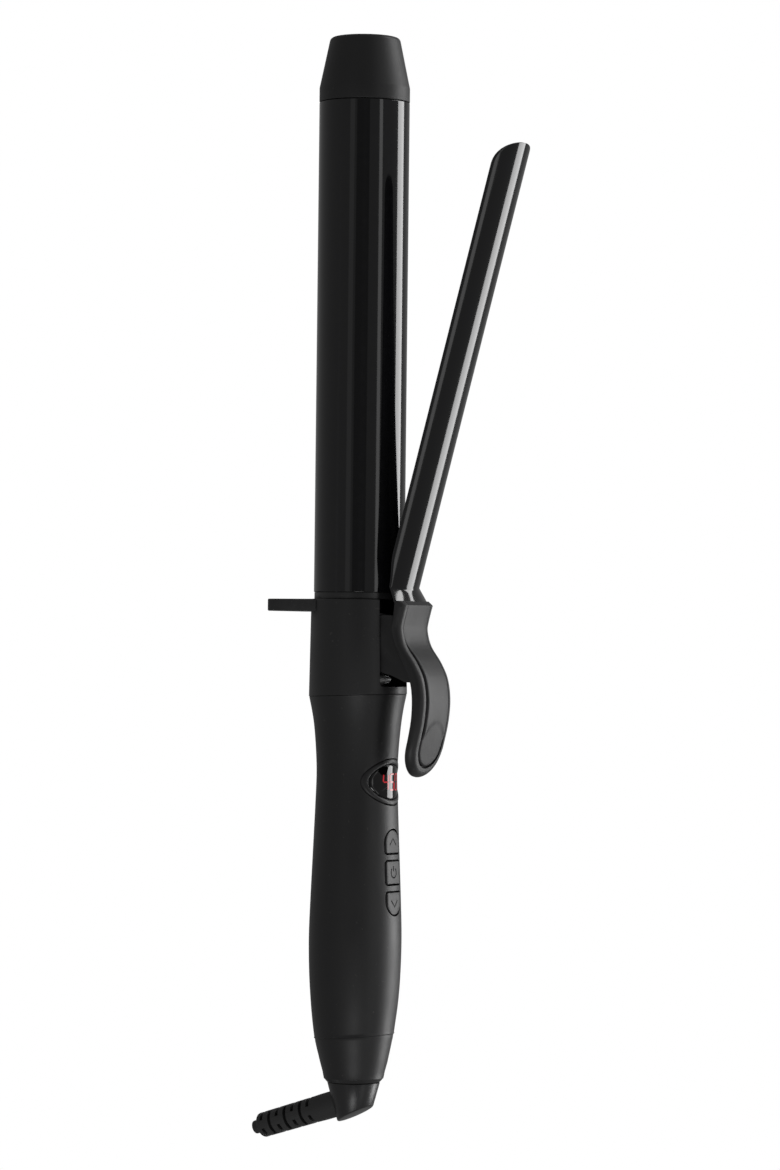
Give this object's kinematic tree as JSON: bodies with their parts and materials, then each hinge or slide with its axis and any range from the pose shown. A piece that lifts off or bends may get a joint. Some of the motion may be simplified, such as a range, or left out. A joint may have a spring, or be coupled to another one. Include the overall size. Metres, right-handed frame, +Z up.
{
  "type": "curling iron",
  "caption": "Hair curling iron with a sprung clamp and thumb lever, digital display, push buttons, rear rest and swivel cord exit.",
  "frame": {"origin": "on the barrel's axis at the middle of the handle grip, where a hand holds it", "axes": "+Z up along the barrel to the cool tip; the clamp, display and buttons face -Y; the rear rest and the cord boot point to +Y"},
  "size_m": [0.035, 0.107, 0.3942],
  "materials": {
    "cool_tip": "fine matte, heat-resistant moulded plastic",
    "barrel": "gloss black ceramic-style coating on an aluminium tube",
    "heat_ring": "matte heat-resistant ring",
    "collar_plastic": "soft-touch matte black",
    "handle_plastic": "soft-touch matte black",
    "lever_plastic": "satin black",
    "button_plastic": "satin black",
    "clamp_coating": "gloss black coating on sprung sheet metal",
    "window_plastic": "dark polished display window",
    "elbow_plastic": "satin black",
    "boot_rubber": "flexible matte black",
    "steel": "plain zinc-plated steel",
    "spring_steel": "drawn spring wire",
    "aluminium": "extruded, bare",
    "ceramic": "unglazed alumina",
    "brass": "bare contact brass",
    "carrier_plastic": "black moulded carrier",
    "board": "green solder mask",
    "component": "black component cases",
    "lead_white": "silicone insulation",
    "lead_red": "silicone insulation"
  },
  "bodies": {
    "root": {"cool_tip": "cool_tip", "barrel": "barrel", "heat_ring": "heat_ring", "collar": "collar_plastic", "stand_foot": "collar_plastic", "handle_shell": "handle_plastic", "display_bezel": "handle_plastic", "end_cap": "handle_plastic", "display_window": "window_plastic", "lever_stop": "boot_rubber", "barrel_mount": "steel", "barrel_retainer": "steel", "hinge_block": "steel", "hinge_pin": "steel", "hinge_screw_1": "steel", "hinge_screw_2": "steel", "board_screw_1": "steel", "board_screw_2": "steel", "board_screw_3": "steel", "board_screw_4": "steel", "thermal_fuse": "steel", "clamp_spring": "spring_steel", "heat_spreader_back": "aluminium", "heat_spreader_front": "aluminium", "heater_plate": "ceramic", "thermistor": "ceramic", "brush_live": "brass", "brush_neutral": "brass", "inner_carrier": "carrier_plastic", "control_board": "board", "display_module": "component", "up_switch": "component", "power_switch": "component", "down_switch": "component", "capacitor": "component", "triac": "component", "transformer": "component", "heater_lead_live": "lead_white", "heater_lead_neutral": "lead_white", "sensor_lead": "lead_white", "supply_lead_neutral": "lead_white", "supply_lead_live": "lead_red"},
    "clamp": {"clamp_plate": "clamp_coating", "lever_body": "lever_plastic", "lever_pad": "lever_plastic", "clamp_rivet_1": "steel", "clamp_rivet_2": "steel"},
    "up_button": {"up_button": "button_plastic"},
    "power_button": {"power_button": "button_plastic"},
    "down_button": {"down_button": "button_plastic"},
    "swivel": {"swivel_elbow": "elbow_plastic", "swivel_clip": "steel", "slip_ring_live": "brass", "slip_ring_neutral": "brass", "cord_boot": "boot_rubber"}
  },
  "joints": [
    {"name": "clamp_hinge", "type": "hinge", "parent": "root", "child": "clamp", "pos_m": [0, -0.0125, 0.082], "axis": [1, 0, 0], "range_deg": [-15.45, 8], "deforming": ["clamp_spring"]},
    {"name": "up_press", "type": "slide", "parent": "root", "child": "up_button", "axis": [0, 1, 0], "range_m": [0, 0.0008], "stiffness_N_per_m": 1500, "springref_m": -0.0005},
    {"name": "power_press", "type": "slide", "parent": "root", "child": "power_button", "axis": [0, 1, 0], "range_m": [0, 0.0008], "stiffness_N_per_m": 1500, "springref_m": -0.0005},
    {"name": "down_press", "type": "slide", "parent": "root", "child": "down_button", "axis": [0, 1, 0], "range_m": [0, 0.0008], "stiffness_N_per_m": 1500, "springref_m": -0.0005},
    {"name": "cord_swivel", "type": "hinge", "parent": "root", "child": "swivel", "pos_m": [0, 0, -0.075], "axis": [0, 0, 1], "continuous": true}
  ]
}
